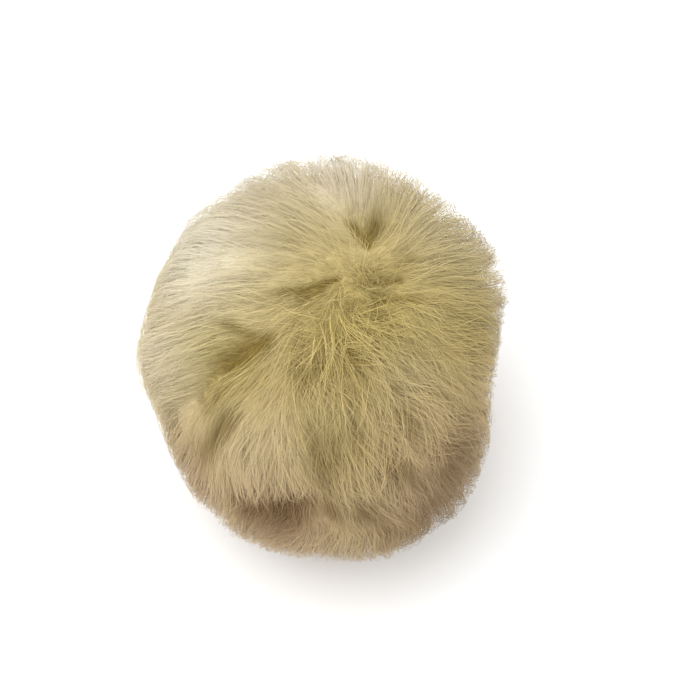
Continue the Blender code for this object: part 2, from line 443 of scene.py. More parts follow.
def make_skin():
    """The undercoat: a fine ball pulled to its radius in each direction, with the groomer's notes."""
    bpy.ops.mesh.primitive_ico_sphere_add(subdivisions=SKIN_SUBDIVISIONS, radius=1)
    skin = bpy.context.object
    skin.name = "undercoat"
    mesh = skin.data
    ways = np.empty(3 * len(mesh.vertices))
    mesh.vertices.foreach_get("co", ways)
    ways = unit(ways.reshape(-1, 3))
    places = MIDDLE + ways * skin_radius(ways)[:, None]
    places[:, 2] = np.maximum(places[:, 2], 0)
    mesh.vertices.foreach_set("co", places.ravel())
    mesh.update()
    mesh.shade_smooth()
    write_notes(mesh, ways)
    return skin


undercoat = make_skin()
print(f"skin: {len(undercoat.data.polygons)} faces")

# %% [markdown]
# ## Writing node trees like arithmetic
#
# A node tree for hair has more than two hundred nodes, mostly sums. They could be laid out by hand in
# the editor, but a small class keeps them readable in a script: each of its methods adds one node,
# links it up and gives back its output, so a tree reads like the formula it is. It serves the shaders
# too, because their maths nodes are the same ones.


# %% The wiring helper
class Wiring:
    """A node tree being built. Values may be numbers, vectors or the outputs of other nodes."""

    def __init__(self, tree):
        self.tree = tree

    def node(self, kind, values, **settings):
        """Adds a node. values holds its inputs, by name or by number."""
        node = self.tree.nodes.new(kind)
        for name, setting in settings.items():
            setattr(node, name, setting)
        for key, value in values.items():
            if isinstance(value, bpy.types.NodeSocket):
                self.tree.links.new(value, node.inputs[key])
            else:
                node.inputs[key].default_value = value
        return node

    def math(self, operation, *values):
        """One step of arithmetic on numbers."""
        return self.node("ShaderNodeMath", dict(enumerate(values)), operation=operation).outputs[0]

    def product(self, *values):
        """All of these numbers multiplied."""
        result = values[0]
        for value in values[1:]:
            result = self.math("MULTIPLY", result, value)
        return result

    def power(self, value, exponent):
        """A number raised to a power."""
        return self.math("POWER", value, exponent)

    def rising(self, value, base, more):
        """base where the value is 0, and more above it where the value is 1."""
        return self.math("ADD", base, self.math("MULTIPLY", value, more))

    def falling(self, value, base, less):
        """base where the value is 0, and less below it where the value is 1."""
        return self.math("SUBTRACT", base, self.math("MULTIPLY", value, less))

    def mix(self, share, first, second):
        """A number between two others."""
        return self.node("ShaderNodeMix", {0: share, 2: first, 3: second}).outputs[0]

    def smooth(self, value, start, end):
        """0 at start, 1 at end, and a smooth change between them."""
        values = {0: value, 1: start, 2: end}
        return self.node("ShaderNodeMapRange", values, interpolation_type="SMOOTHSTEP").outputs[0]

    def vector(self, operation, *values):
        """One step of arithmetic on vectors."""
        return self.node("ShaderNodeVectorMath", dict(enumerate(values)), operation=operation).outputs[0]

    def scaled(self, vector, share):
        """A vector made longer or shorter."""
        return self.node("ShaderNodeVectorMath", {0: vector, "Scale": share}, operation="SCALE").outputs[0]

    def parts(self, vector):
        """The three numbers of a vector."""
        return self.node("ShaderNodeSeparateXYZ", {0: vector}).outputs

    def joined(self, x, y, z):
        """The vector of three numbers."""
        return self.node("ShaderNodeCombineXYZ", {0: x, 1: y, 2: z}).outputs[0]

    def between(self, share, first, second):
        """A place between two others."""
        values = {0: share, 4: first, 5: second}
        return self.node("ShaderNodeMix", values, data_type="VECTOR", clamp_factor=False).outputs[1]

    def tint(self, share, first, second):
        """A colour between two others."""
        return self.node("ShaderNodeMix", {0: share, 6: first, 7: second}, data_type="RGBA").outputs[2]

    def noise(self, place, scale):
        """A smooth random vector, from -0.5 to 0.5 along each axis."""
        noise = self.node("ShaderNodeTexNoise", {"Vector": place, "Scale": scale, "Detail": 1.0})
        return self.vector("SUBTRACT", noise.outputs["Color"], (0.5, 0.5, 0.5))


# %% The same for node groups
class Group(Wiring):
    """A node group of its own, with named inputs and outputs."""

    def __init__(self, name, kind="GeometryNodeTree"):
        super().__init__(bpy.data.node_groups.new(name, kind))
        self.enter = self.tree.nodes.new("NodeGroupInput")
        self.leave = self.tree.nodes.new("NodeGroupOutput")

    def input(self, name, kind):
        """Adds a named input to the group and gives back its socket inside."""
        self.tree.interface.new_socket(name=name, in_out="INPUT", socket_type=kind)
        return self.enter.outputs[name]

    def output(self, name, kind, value):
        """Adds a named output to the group, fed by this value."""
        self.tree.interface.new_socket(name=name, in_out="OUTPUT", socket_type=kind)
        self.tree.links.new(value, self.leave.inputs[name])

    def chance(self, seed, who=None):
        """An even random number from 0 to 1, for each element or for each value of who."""
        values = {2: 0.0, 3: 1.0, 8: seed}
        if who is not None:
            values[7] = who
        return self.node("FunctionNodeRandomValue", values, data_type="FLOAT").outputs[1]

    def read(self, name, kind="FLOAT"):
        """The named attribute."""
        return self.node("GeometryNodeInputNamedAttribute", {"Name": name}, data_type=kind).outputs[0]

    def store(self, geometry, name, value, kind="FLOAT", only=True):
        """The geometry with a value written on its points."""
        values = {"Geometry": geometry, "Name": name, "Selection": only, "Value": value}
        stored = self.node("GeometryNodeStoreNamedAttribute", values, data_type=kind, domain="POINT")
        return stored.outputs[0]

    def place(self):
        """Where each element is."""
        return self.node("GeometryNodeInputPosition", {}).outputs[0]

    def moved(self, geometry, place, only=True):
        """The geometry with its points put at a place."""
        values = {"Geometry": geometry, "Selection": only, "Position": place}
        return self.node("GeometryNodeSetPosition", values).outputs[0]

    def on_skin(self, skin, value, place, kind="FLOAT"):
        """What the nearest place on the skin has written on it."""
        values = {"Mesh": skin, "Value": value, "Sample Position": place}
        return self.node("GeometryNodeSampleNearestSurface", values, data_type=kind).outputs[0]

    def outwards(self, place):
        """The way from the middle of the ball to a place."""
        return self.vector("NORMALIZE", self.vector("SUBTRACT", place, tuple(MIDDLE)))


NUMBER, COUNT, VECTOR = "NodeSocketFloat", "NodeSocketInt", "NodeSocketVector"
GEOMETRY, MATERIAL, COLOUR = "NodeSocketGeometry", "NodeSocketMaterial", "NodeSocketColor"

# %% [markdown]
# ## Growing the hair
#
# Real hair could be drawn as Blender's hair curves, but a model that travels to other programs needs
# meshes, so each hair here is a thin tube of three sides that tapers to its tip.
#
# The tree works like a groomer. It scatters roots over the skin and lays a short line at each. Then it
# walks every line along the comb, one stride at a time, in a repeat zone: each time round, the points
# that have further to go take a stride and are put back on the skin. The middle of each tuft and of each lock
# is walked in the same way, and the hairs are drawn towards them, more so at their tips. That pulling
# together in two sizes is what makes fur look like fur. Last come the rise from the skin, the waves, the
# frizz and the table.
#
# Nearly every step asks how ruffled its place is. Ruffled hair is short, points every way and clings
# together in tufts. Smooth hair is longer and finer, keeps to the comb and lies down at its tip. A
# habit, below, is what smooth hair does, and how much more of it ruffled hair does.

# %% One stride along the comb
DRIFT_NOISE = 55.0  # this noise and the others are in repeats per metre


def stride_group():
    """A group that moves a place a given distance along the comb and puts it back on the skin."""
    w = Group("Stride along the comb")
    skin = w.input("Skin", GEOMETRY)
    place = w.input("Place", VECTOR)
    distance = w.input("Distance", NUMBER)
    turn = w.input("Turn", NUMBER)
    swirl = w.input("Swirl", NUMBER)
    combed = w.on_skin(skin, w.read("comb", "FLOAT_VECTOR"), place, "FLOAT_VECTOR")
    drift = w.parts(w.noise(place, DRIFT_NOISE))["X"]
    values = {"Vector": combed, "Axis": w.outwards(place), "Angle": w.rising(drift, turn, swirl)}
    way = w.node("ShaderNodeVectorRotate", values).outputs[0]
    ahead = w.vector("ADD", place, w.scaled(way, distance))
    w.output("Place", VECTOR, w.on_skin(skin, w.place(), ahead, "FLOAT_VECTOR"))
    return w


STRIDE = stride_group()
print(f"stride: {len(STRIDE.tree.nodes)} nodes")

# %% Tufts and locks
CENTRE_CROWDING = 8.0  # places tried on each square of the spacing, so that few gaps stay
EDGE_NOISE = 220.0
CENTRE_SEEDS = {"lock": 3, "tuft": 5}
UNTIDY = {"lock": 6 * MM, "tuft": 1.5 * MM}  # how far their edges wander
TURN_SEED, CHANCE_SEED = 17, 7


def scatter_centres(w, skin, spacing, seed):
    """Even places on the skin, for the middles of tufts or locks."""
    most = w.math("DIVIDE", CENTRE_CROWDING, w.math("MULTIPLY", spacing, spacing))
    values = {"Mesh": skin, "Distance Min": spacing, "Density Max": most, "Seed": seed}
    scatter = w.node("GeometryNodeDistributePointsOnFaces", values, distribute_method="POISSON")
    return scatter.outputs["Points"]


def join_centres(w, skin, roots, name, spacing):
    """Writes on each root the place and the random numbers of its lock or tuft."""
    centres = scatter_centres(w, skin, spacing, CENTRE_SEEDS[name])
    near = w.vector("ADD", w.place(), w.scaled(w.noise(w.place(), EDGE_NOISE), UNTIDY[name]))
    nearest = w.node("GeometryNodeSampleNearest", {"Geometry": centres, "Sample Position": near})
    number = nearest.outputs["Index"]
    values = {"Geometry": centres, "Value": w.place(), "Index": number}
    place = w.node("GeometryNodeSampleIndex", values, data_type="FLOAT_VECTOR").outputs[0]
    roots = w.store(roots, name + "_place", place, "FLOAT_VECTOR")
    roots = w.store(roots, name + "_turn", w.chance(TURN_SEED, number))
    return w.store(roots, name + "_chance", w.chance(CHANCE_SEED, number))


# %% Roots, and a line at each
FLAT_SPOT = 1.0 * MM  # skin lower than this lies on the table and grows no hair
CALM_DENSITY = 0.9
WHORL_RUFFLE = (0.85, 1.0)  # so ruffled is the fur only at the whorl
WHORL_MORE = 2.0  # how much denser it is there, where the hairs run apart
HAIR_CHANCE_SEED, HAIR_TURN_SEED = 11.0, 23.0  # added to the coat's own


def plant_roots(w, skin, coat, seed):
    """Roots all over the skin but for the flat spot, each with its random numbers, lock and tuft."""
    off_table = w.math("GREATER_THAN", w.parts(w.place())["Z"], FLAT_SPOT)
    ruffled = w.read("ruffle")
    whorl = w.math("MULTIPLY", w.smooth(ruffled, *WHORL_RUFFLE), WHORL_MORE)
    denser = w.math("ADD", w.math("ADD", CALM_DENSITY, ruffled), whorl)
    density = w.math("MULTIPLY", coat["Hairs per square metre"], denser)
    values = {"Mesh": skin, "Selection": off_table, "Density": density, "Seed": seed}
    roots = w.node("GeometryNodeDistributePointsOnFaces", values).outputs["Points"]
    roots = w.store(roots, "hair_chance", w.chance(w.math("ADD", seed, HAIR_CHANCE_SEED)))
    roots = w.store(roots, "hair_turn", w.chance(w.math("ADD", seed, HAIR_TURN_SEED)))
    roots = w.store(roots, "hair_place", w.place(), "FLOAT_VECTOR")
    roots = join_centres(w, skin, roots, "lock", coat["Lock spacing"])
    return join_centres(w, skin, roots, "tuft", coat["Tuft spacing"])


def lay_lines(w, roots, stations):
    """A line of a few points at each root, with all of them still in one place."""
    line = w.node("GeometryNodeCurvePrimitiveLine", {}).outputs[0]
    line = w.node("GeometryNodeResampleCurve", {"Curve": line, "Count": stations}).outputs[0]
    lines = w.node("GeometryNodeInstanceOnPoints", {"Points": roots, "Instance": line}).outputs[0]
    lines = w.node("GeometryNodeRealizeInstances", {"Geometry": lines}).outputs[0]
    return w.moved(lines, w.read("hair_place", "FLOAT_VECTOR"))


Hair = namedtuple("Hair", "step steps along ruffled calm chance lock_chance tuft_chance")


def hair_fields(w, stations):
    """What the later steps ask of each point: its step along its hair, its ruffle and its chances."""
    step = w.math("MODULO", w.node("GeometryNodeInputIndex", {}).outputs[0], stations)
    steps = w.math("SUBTRACT", stations, 1.0)
    ruffled = w.read("ruffle")
    calm = w.math("SUBTRACT", 1.0, ruffled)
    chances = [w.read(name + "_chance") for name in ("hair", "lock", "tuft")]
    return Hair(step, steps, w.math("DIVIDE", step, steps), ruffled, calm, *chances)


# %% The walk along the comb
HAIR_LENGTHS = (0.85, 1.1)  # the shortest and longest, as shares of the coat's length
LOCK_LENGTHS = (0.72, 1.22)
TUFT_LENGTHS = (0.7, 1.25)
RUFFLED_LENGTH, CALM_LONGER = 0.7, 0.6
TURN_HABIT = (0.22, 1.35)  # as shares of the turns that the coat asks for
RUFFLE_TURN = 5.0  # radians over which ruffled hair points every way
TURN_KEPT = 0.8  # the share of its lock's turn that a tuft keeps, and of its tuft's that a hair keeps
Walker = namedtuple("Walker", "name turn disorder")
WALKERS = (
    Walker(name="lock", turn="Lock turn", disorder=0.2),
    Walker(name="tuft", turn="Tuft turn", disorder=1.0),
    Walker(name="hair", turn="Stray", disorder=0.3),
)


def stride_length(w, coat, hair):
    """How far each hair goes in one stride."""
    own = w.product(
        w.mix(hair.chance, *HAIR_LENGTHS),
        w.mix(hair.lock_chance, *LOCK_LENGTHS),
        w.mix(hair.tuft_chance, *TUFT_LENGTHS),
    )
    longer = w.rising(hair.calm, RUFFLED_LENGTH, CALM_LONGER)
    return w.math("DIVIDE", w.product(coat["Length"], w.read("pile"), own, longer), hair.steps)


def walk_hairs(w, skin, lines, coat, hair):
    """Walks the hairs along the comb, and with them the middles of their tufts and locks."""
    stride = stride_length(w, coat, hair)
    begin = w.node("GeometryNodeRepeatInput", {})
    end = w.node("GeometryNodeRepeatOutput", {})
    begin.pair_with_output(end)
    w.tree.links.new(hair.steps, begin.inputs["Iterations"])
    w.tree.links.new(lines, begin.inputs["Geometry"])
    further = w.math("GREATER_THAN", hair.step, begin.outputs["Iteration"])
    disorder = w.product(hair.ruffled, hair.ruffled, RUFFLE_TURN)
    hairs = begin.outputs["Geometry"]
    turn = 0.0
    for walker in WALKERS:
        spread = w.math("MULTIPLY", coat[walker.turn], w.rising(hair.ruffled, *TURN_HABIT))
        spread = w.rising(disorder, spread, walker.disorder)
        own_turn = w.math("MULTIPLY", w.math("SUBTRACT", w.read(walker.name + "_turn"), 0.5), spread)
        turn = w.math("ADD", w.math("MULTIPLY", turn, TURN_KEPT), own_turn)
        is_hair = walker.name == "hair"
        place = w.place() if is_hair else w.read(walker.name + "_place", "FLOAT_VECTOR")
        values = {"Skin": skin, "Place": place, "Distance": stride, "Turn": turn, "Swirl": coat["Swirl"]}
        ahead = w.node("GeometryNodeGroup", values, node_tree=STRIDE.tree).outputs[0]
        if is_hair:
            hairs = w.moved(hairs, ahead, further)
        else:
            hairs = w.store(hairs, walker.name + "_place", ahead, "FLOAT_VECTOR", further)
    w.tree.links.new(hairs, end.inputs["Geometry"])
    return end.outputs["Geometry"]


# %% Drawing hairs together
TUFT_HABIT = (0.2, 1.4)
LOCK_HABIT = (0.6, 0.4)
TUFT_PULLS = (0.6, 1.6)  # the loosest and tightest, as shares of the coat's pull
LOCK_PULLS = (0.6, 1.3)
TUFT_CLOSES, TUFT_OPENS = 1.2, 5.0  # powers of the way along: a tuft closes, and opens again at its tip
TIP_OPENING = 0.55
LOCK_CLOSES = 1.7  # a lock only closes


def gathered_place(w, coat, hair):
    """Where each point is, once tufts are drawn together, and locks of tufts more loosely."""
    closing = w.falling(w.power(hair.along, TUFT_OPENS), w.power(hair.along, TUFT_CLOSES), TIP_OPENING)
    gathered = w.rising(hair.ruffled, *TUFT_HABIT)
    tuft_share = w.product(coat["Tuft pull"], gathered, w.mix(w.read("tuft_turn"), *TUFT_PULLS), closing)
    place = w.between(tuft_share, w.place(), w.read("tuft_place", "FLOAT_VECTOR"))
    locked = w.rising(hair.ruffled, *LOCK_HABIT)
    closing = w.power(hair.along, LOCK_CLOSES)
    lock_share = w.product(coat["Lock pull"], locked, w.mix(w.read("lock_turn"), *LOCK_PULLS), closing)
    return w.between(lock_share, place, w.read("lock_place", "FLOAT_VECTOR"))


# %% The rise from the skin
ROOT_DEPTH = 1.5 * MM  # how deep in the skin a hair starts
LOCK_LAYERS = (0.9, 1.08)  # the lowest and highest lock, as shares of the full lift
TUFT_LAYERS = (0.96, 1.04)
RUFFLED_SINK = 0.3  # how much lower than that the lowest ones are where the fur is ruffled
CALM_EVENING, EVEN_LAYER = 0.25, 0.85  # smooth hair rises more evenly, to near this layer
RISE_ROUNDNESS = 1.6  # how much of the rise comes near the root
TIP_DROP, CALM_DROP_MORE = 0.2, 0.22  # the share of its height that a hair loses again at its tip
DROP_LATENESS = 4.0  # how near the tip that comes


def lifted_place(w, place, coat, hair):
    """The place lifted off the skin, steeply at first, and let down a little at the tip."""
    sunken = w.math("MULTIPLY", hair.ruffled, RUFFLED_SINK)
    lock_layer = w.mix(hair.lock_chance, w.math("SUBTRACT", LOCK_LAYERS[0], sunken), LOCK_LAYERS[1])
    tuft_layer = w.mix(hair.tuft_chance, w.math("SUBTRACT", TUFT_LAYERS[0], sunken), TUFT_LAYERS[1])
    deepest = w.mix(w.math("MULTIPLY", hair.calm, CALM_EVENING), coat["Lowest layer"], EVEN_LAYER)
    layer = w.product(w.mix(hair.chance, deepest, 1.0), lock_layer, tuft_layer)
    top = w.rising(w.read("lift"), ROOT_DEPTH, layer)
    lifted = w.math("SUBTRACT", 1.0, w.power(w.math("SUBTRACT", 1.0, hair.along), RISE_ROUNDNESS))
    dropped = w.rising(hair.calm, TIP_DROP, CALM_DROP_MORE)
    lifted = w.falling(w.power(hair.along, DROP_LATENESS), lifted, dropped)
    rise = w.math("SUBTRACT", w.math("MULTIPLY", top, lifted), ROOT_DEPTH)
    return w.vector("ADD", place, w.scaled(w.outwards(place), rise))


# %% Waves, frizz and the table
WAVE_NOISE, FRIZZ_NOISE = 150.0, 300.0
WAVE_HABIT = (0.35, 0.65)
FRIZZ_HABIT = (0.25, 1.55)
FRIZZ_NEARNESS = 0.6  # a low power of the way along, so the frizz starts near the root
HAIRS_APART = (7.0, 3.0, 5.0)  # how far apart in the noise two hairs can be, so that they curl apart
SPLAY, SPLAY_LATENESS = 10 * MM, 1.5  # how far the table pushes tips outwards, and how late
PILED_ON_TABLE = 1.5 * MM  # how high the hairs that the table holds up lie on one another


def curled_place(w, place, coat, hair):
    """The place moved by waves that neighbours share, and by frizz that they don't."""
    waved = w.product(coat["Wave"], hair.along, w.rising(hair.ruffled, *WAVE_HABIT))
    place = w.vector("ADD", place, w.scaled(w.noise(place, WAVE_NOISE), waved))
    frizzy = w.rising(hair.ruffled, *FRIZZ_HABIT)
    frizzed = w.product(coat["Frizz"], frizzy, w.power(hair.along, FRIZZ_NEARNESS))
    curl = w.noise(w.vector("ADD", place, w.scaled(HAIRS_APART, hair.chance)), FRIZZ_NOISE)
    return w.vector("ADD", place, w.scaled(curl, frizzed))


def pressed_place(w, place, coat, hair):
    """The place pushed outwards under the ball, and held up by the table."""
    level = w.vector("NORMALIZE", w.vector("MULTIPLY", place, (1.0, 1.0, 0.0)))
    push = w.product(w.read("press"), SPLAY, w.power(hair.along, SPLAY_LATENESS))
    x, y, z = w.parts(w.vector("ADD", place, w.scaled(level, push)))
    return w.joined(x, y, w.math("MAXIMUM", z, w.rising(hair.chance, coat["Thickness"], PILED_ON_TABLE)))


# %% Tubes
SIDES = 3
TAPER, TAPER_LATENESS = 0.85, 2.5  # how much thinner the tip is, and how late a hair thins
CALM_THINNER = 0.3
HAIR_WIDTHS = (0.7, 1.2)  # as shares of the coat's thickness


def make_tubes(w, hairs, coat, hair, fur):
    """The lines made closed tapering tubes, with their material."""
    narrow = w.falling(w.power(hair.along, TAPER_LATENESS), 1.0, TAPER)
    finer = w.falling(hair.calm, 1.0, CALM_THINNER)
    radius = w.product(coat["Thickness"], w.mix(hair.chance, *HAIR_WIDTHS), narrow, finer)
    ring = w.node("GeometryNodeCurvePrimitiveCircle", {"Resolution": SIDES, "Radius": 1.0}).outputs[0]
    values = {"Curve": hairs, "Profile Curve": ring, "Scale": radius, "Fill Caps": True}
    tubes = w.node("GeometryNodeCurveToMesh", values).outputs[0]
    tubes = w.node("GeometryNodeSetShadeSmooth", {"Geometry": tubes}).outputs[0]
    tubes = w.node("GeometryNodeRealizeInstances", {"Geometry": tubes}).outputs[0]
    return w.node("GeometryNodeSetMaterial", {"Geometry": tubes, "Material": fur}).outputs[0]


# %% The whole tree
COAT_NUMBERS = ("Hairs per square metre", "Thickness", "Length", "Lock spacing", "Tuft spacing", "Lock pull")
COAT_NUMBERS += ("Tuft pull", "Lock turn", "Tuft turn", "Stray", "Swirl", "Wave", "Frizz", "Lowest layer")


def fur_tree():
    """Builds the tree that turns a skin into fur."""
    w = Group("Grow fur")
    skin = w.input("Skin", GEOMETRY)
    coat = {name: w.input(name, NUMBER) for name in COAT_NUMBERS}
    stations = w.input("Points along a hair", COUNT)
    seed = w.input("Seed", COUNT)
    fur = w.input("Fur", MATERIAL)
    lines = lay_lines(w, plant_roots(w, skin, coat, seed), stations)
    hair = hair_fields(w, stations)
    hairs = walk_hairs(w, skin, lines, coat, hair)
    place = gathered_place(w, coat, hair)
    for name in ("lift", "shade", "olive", "cream_and_highlight", "blush"):  # as written where the hair passes over
        hairs = w.store(hairs, name, w.on_skin(skin, w.read(name), w.place()))
    place = lifted_place(w, place, coat, hair)
    place = curled_place(w, place, coat, hair)
    hairs = w.moved(hairs, pressed_place(w, place, coat, hair))
    hairs = w.store(hairs, "along", hair.along)
    w.output("Fur", GEOMETRY, make_tubes(w, hairs, coat, hair, fur))
    return w


GROW_FUR = fur_tree()
print(f"fur tree: {len(GROW_FUR.tree.nodes)} nodes")

# %% [markdown]
# ## The colour of the fur
#
# The fur is dyed a pale olive sand. Each hair is a little darker at its root and a little paler at its
# tip, where the fibre is thin and light passes through it. In streaks and hollows, where the coat dips,
# painted shade turns the colour dark and warm, and cream at the back and the left is partly a painted
# highlight. Hairs differ a little from one another, and so do whole locks. A painted picture could say
# all this, but it would need far too many pixels for hair, so the colour is worked out from the notes
# that each hair carries. The shared part is a node group that puts out a colour; the shaders themselves
# stay in the two materials that use it.

# %% Colours
ROOT_COLOUR = (0.545, 0.435, 0.203, 1)
OLIVE_ROOT_COLOUR = (0.42, 0.333, 0.112, 1)
SAND_COLOUR = (0.57, 0.452, 0.217, 1)
OLIVE_COLOUR = (0.497, 0.395, 0.138, 1)
# Cream, partly the fur's paler colour and partly a painted highlight.
CREAM_AND_HIGHLIGHT_COLOUR = (0.79, 0.725, 0.56, 1)
BLUSH_COLOUR = (0.56, 0.405, 0.245, 1)
TIP_COLOUR = (0.80, 0.71, 0.47, 1)
# Painted shade colours for streaks, hollows and shaded patches: on sandy fur, and on pinkish fur.
PAINTED_SHADE_COLOUR = (0.185, 0.122, 0.014, 1)
PINKISH_PAINTED_SHADE_COLOUR = (0.215, 0.12, 0.05, 1)
ROOT_ENDS = (-0.25, 0.35)  # as shares of the way along a hair, over which it loses its root's colour
TIP_STARTS = (0.6, 1.0)  # where the tip's colour comes in
TIP_SHARE = 0.15
GROWTH_DIFFERENCE = 0.3  # how far these ends differ between hairs
SHADE_RANGE = (0.1, 0.9)  # of the shade mask, over which the hollows' colour comes in
SHADE_SHARE = 0.95
EVEN_HAIRS, OLIVE_UNEVEN = 0.05, 0.34  # how much hairs differ in brightness, and how much more where olive
DARK_LOCK, LOCK_BRIGHTER = 0.88, 0.22  # the brightness of the darkest lock, and how far others pass it


def fur_colour_group():
    """The colour along a hair, varied by hair and by lock and by the groomer's masks, painted shade and
    highlight among them.
    """
    w = Group("Fur colour", "ShaderNodeTree")
    along, hair, lock, shade, olive, cream_and_highlight, blush = (
        w.input(name, NUMBER) for name in ("Along", "Hair", "Lock", "Shade", "Olive", "Cream_and_highlight", "Blush")
    )
    dyed = w.tint(olive, SAND_COLOUR, OLIVE_COLOUR)
    dyed = w.tint(cream_and_highlight, dyed, CREAM_AND_HIGHLIGHT_COLOUR)
    dyed = w.tint(blush, dyed, BLUSH_COLOUR)
    root = w.tint(olive, ROOT_COLOUR, OLIVE_ROOT_COLOUR)
    own = w.math("SUBTRACT", hair, 0.5)
    grown = w.rising(own, along, GROWTH_DIFFERENCE)
    colour = w.tint(w.smooth(grown, *ROOT_ENDS), root, dyed)
    colour = w.tint(w.math("MULTIPLY", w.smooth(grown, *TIP_STARTS), TIP_SHARE), colour, TIP_COLOUR)
    # Painted shade: darker and warmer in the streaks and shaded patches, and redder on pinkish fur.
    dark = w.tint(blush, PAINTED_SHADE_COLOUR, PINKISH_PAINTED_SHADE_COLOUR)
    colour = w.tint(w.math("MULTIPLY", w.smooth(shade, *SHADE_RANGE), SHADE_SHARE), colour, dark)
    bright = w.rising(own, 1.0, w.rising(olive, EVEN_HAIRS, OLIVE_UNEVEN))
    bright = w.math("MULTIPLY", bright, w.rising(lock, DARK_LOCK, LOCK_BRIGHTER))
    colour = w.node("ShaderNodeHueSaturation", {"Color": colour, "Value": bright}).outputs[0]
    w.output("Colour", COLOUR, colour)
    return w


FUR_COLOUR = fur_colour_group()
print(f"fur colour: {len(FUR_COLOUR.tree.nodes)} nodes")

# %% The hair's material
HAIR_GLOSS = {
    "Roughness": 0.6,
    "Specular IOR Level": 0.1,
    "Sheen Weight": 0.05,
    "Sheen Roughness": 0.5,
    "Sheen Tint": (1.0, 0.95, 0.86, 1),
}


def new_material(name, look):
    """A material with these inputs of its Principled BSDF set, its wiring and that shader."""
    material = bpy.data.materials.new(name)
    material.use_nodes = True
    w = Wiring(material.node_tree)
    shader = w.tree.nodes["Principled BSDF"]
    for socket, value in look.items():
        shader.inputs[socket].default_value = value
    return material, w, shader


def attribute(w, name, output="Fac"):
    """A number or a vector written on the mesh, as a shader reads it."""
    return w.node("ShaderNodeAttribute", {}, attribute_name=name).outputs[output]


def masks(w):
    """The groomer's masks, painted shade and painted highlight among them, as inputs of the colour group."""
    return {name: attribute(w, name.lower()) for name in ("Shade", "Olive", "Cream_and_highlight", "Blush")}


def hair_material():
    """Single hairs, coloured from root to tip."""
    material, w, shader = new_material("fur_hair", HAIR_GLOSS)
    values = {"Along": attribute(w, "along"), "Hair": attribute(w, "hair_chance")}
    both = w.math("ADD", attribute(w, "lock_chance"), attribute(w, "tuft_chance"))
    values["Lock"] = w.math("MULTIPLY", both, 0.5)
    colour = w.node("ShaderNodeGroup", {**values, **masks(w)}, node_tree=FUR_COLOUR.tree).outputs[0]
    w.tree.links.new(colour, shader.inputs["Base Color"])
    return material


HAIR = hair_material()
print("material:", HAIR.name)

# %% [markdown]
# ## The undercoat's streaks
#
# Between the hairs the imported underfur shows, and it is hair too. A plain colour would look like a
# painted ball, and more hairs would make the model too heavy. So the undercoat has a pattern of small
# patches, in each of which fine streaks lie as the hair is combed there: a noise that is stretched far
# along the comb and squeezed across it. Where the coat is ruffled, the undercoat lies deeper, and
# painted shade darkens it.

# %% The undercoat's material
PATCHES_PER_METRE = 230.0
STREAKS_ACROSS, STREAKS_ALONG = 3600.0, 260.0  # noise repeats per metre
STREAKS_APART = 90.0  # how far apart in the noise two patches can be, so that their streaks differ
STREAK_EDGES = (0.3, 0.7)
STREAK_ROOT, STREAK_ALONG = 0.1, 0.4  # how far along a hair the streaks' colours are taken
STREAK_BUMP = {"Strength": 0.8, "Distance": 0.25 * MM}
# Painted shade on the undercoat, where it lies deep under ruffled fur.
RUFFLED_SHADE_BRIGHTNESS = 0.82  # the undercoat is darker where the fur is ruffled
DEPTH_SHADE = 0.45  # how much of the hollows' colour it takes there, because it lies deep


def combed_streaks(w):
    """Fine streaks along the comb, in small patches, and a random number for each patch."""
    place = w.node("ShaderNodeTexCoord", {}).outputs["Object"]
    patches = w.node("ShaderNodeTexVoronoi", {"Vector": place, "Scale": PATCHES_PER_METRE})
    offset = w.vector("SUBTRACT", place, patches.outputs["Position"])
    combed = attribute(w, "comb", "Vector")
    outwards = w.node("ShaderNodeNewGeometry", {}).outputs["Normal"]
    aside = w.vector("CROSS_PRODUCT", combed, outwards)
    across, along = (
        w.node("ShaderNodeVectorMath", {0: offset, 1: way}, operation="DOT_PRODUCT").outputs["Value"]
        for way in (aside, combed)
    )
    chance = w.node("ShaderNodeSeparateColor", {0: patches.outputs["Color"]}).outputs[0]
    streak_place = w.joined(
        w.math("MULTIPLY", across, STREAKS_ACROSS),
        w.math("MULTIPLY", along, STREAKS_ALONG),
        w.math("MULTIPLY", chance, STREAKS_APART),
    )
    noise = w.node("ShaderNodeTexNoise", {"Vector": streak_place, "Scale": 1.0, "Detail": 2.0})
    return w.smooth(noise.outputs[0], *STREAK_EDGES), chance


def undercoat_material():
    """Packed hair between the others: small patches of streaks that lie as the hair is combed."""
    material, w, shader = new_material("fur_undercoat", HAIR_GLOSS)
    streaks, chance = combed_streaks(w)
    values = {"Along": w.rising(streaks, STREAK_ROOT, STREAK_ALONG), "Hair": streaks, "Lock": chance}
    values.update(masks(w))
    ruffled = attribute(w, "ruffle")
    # Painted shade where the undercoat lies deep under ruffled fur.
    values["Shade"] = w.math("MAXIMUM", values["Shade"], w.math("MULTIPLY", ruffled, DEPTH_SHADE))
    colour = w.node("ShaderNodeGroup", values, node_tree=FUR_COLOUR.tree).outputs[0]
    bright = w.mix(ruffled, 1.0, RUFFLED_SHADE_BRIGHTNESS)
    colour = w.node("ShaderNodeHueSaturation", {"Color": colour, "Value": bright}).outputs[0]
    w.tree.links.new(colour, shader.inputs["Base Color"])
    bump = w.node("ShaderNodeBump", {"Height": streaks, **STREAK_BUMP})
    w.tree.links.new(bump.outputs[0], shader.inputs["Normal"])
    return material


undercoat.data.materials.append(undercoat_material())
print("material:", undercoat.data.materials[0].name)

# %% [markdown]
# ## Coats of hair
#
# Fur has several coats. A woolly underfur fills the depth, and is broad and short here, because it only
# shows between the others. The coat proper lies over it in three layers, and a few long guard hairs
# stray out of it. All could be grown at once, but a piece of a million faces is slow to handle. So each
# coat is the same tree with other numbers and another seed, made a plain mesh of its own.

